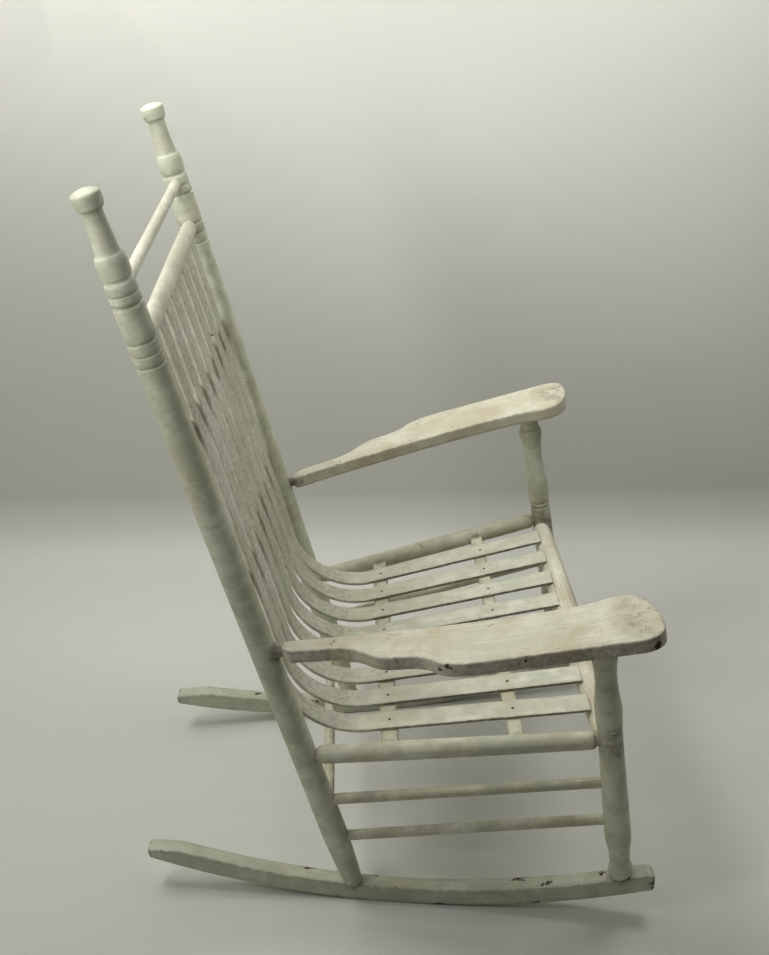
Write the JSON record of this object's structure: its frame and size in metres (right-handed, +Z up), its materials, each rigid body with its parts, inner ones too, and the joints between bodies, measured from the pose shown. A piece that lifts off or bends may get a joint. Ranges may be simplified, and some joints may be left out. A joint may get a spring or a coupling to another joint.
{
  "type": "slat-backed rocking chair",
  "caption": "Painted wooden rocking chair with turned posts, bent seat-and-back slats, flat paddle arms and long toed-out rockers.",
  "frame": {"origin": "on the floor, halfway along the rockers, on the chair's middle plane", "axes": "+X is the way the sitter faces, +Y is the sitter's left, +Z is up"},
  "size_m": [0.72, 0.728, 1.0452],
  "materials": {
    "frame_paint": "aged ivory paint on turned wood, worn and chipped",
    "board_paint": "aged cream paint on flat boards and slats, worn at the edges",
    "nail_steel": "painted-over nail heads, rusted where bare"
  },
  "bodies": {
    "root": {"rocker_left": "frame_paint", "rocker_right": "frame_paint", "rear_post_left": "frame_paint", "rear_post_right": "frame_paint", "front_post_left": "frame_paint", "front_post_right": "frame_paint", "side_seat_rail_left": "frame_paint", "side_seat_rail_right": "frame_paint", "upper_side_stretcher_left": "frame_paint", "upper_side_stretcher_right": "frame_paint", "lower_side_stretcher_left": "frame_paint", "lower_side_stretcher_right": "frame_paint", "arm_left": "board_paint", "arm_right": "board_paint", "rear_stretcher": "frame_paint", "crest_dowel": "frame_paint", "front_seat_rail": "frame_paint", "upper_back_rail": "frame_paint", "upper_back_batten": "frame_paint", "lower_back_batten": "frame_paint", "rear_seat_batten": "frame_paint", "mid_seat_batten": "frame_paint", "slat_1": "board_paint", "slat_2": "board_paint", "slat_3": "board_paint", "slat_4": "board_paint", "slat_5": "board_paint", "slat_6": "board_paint", "slat_7": "board_paint", "slat_8": "board_paint", "rear_nail_1": "nail_steel", "rear_nail_2": "nail_steel", "rear_nail_3": "nail_steel", "rear_nail_4": "nail_steel", "rear_nail_5": "nail_steel", "rear_nail_6": "nail_steel", "rear_nail_7": "nail_steel", "rear_nail_8": "nail_steel", "mid_nail_1": "nail_steel", "mid_nail_2": "nail_steel", "mid_nail_3": "nail_steel", "mid_nail_4": "nail_steel", "mid_nail_5": "nail_steel", "mid_nail_6": "nail_steel", "mid_nail_7": "nail_steel", "mid_nail_8": "nail_steel"}
  },
  "joints": []
}
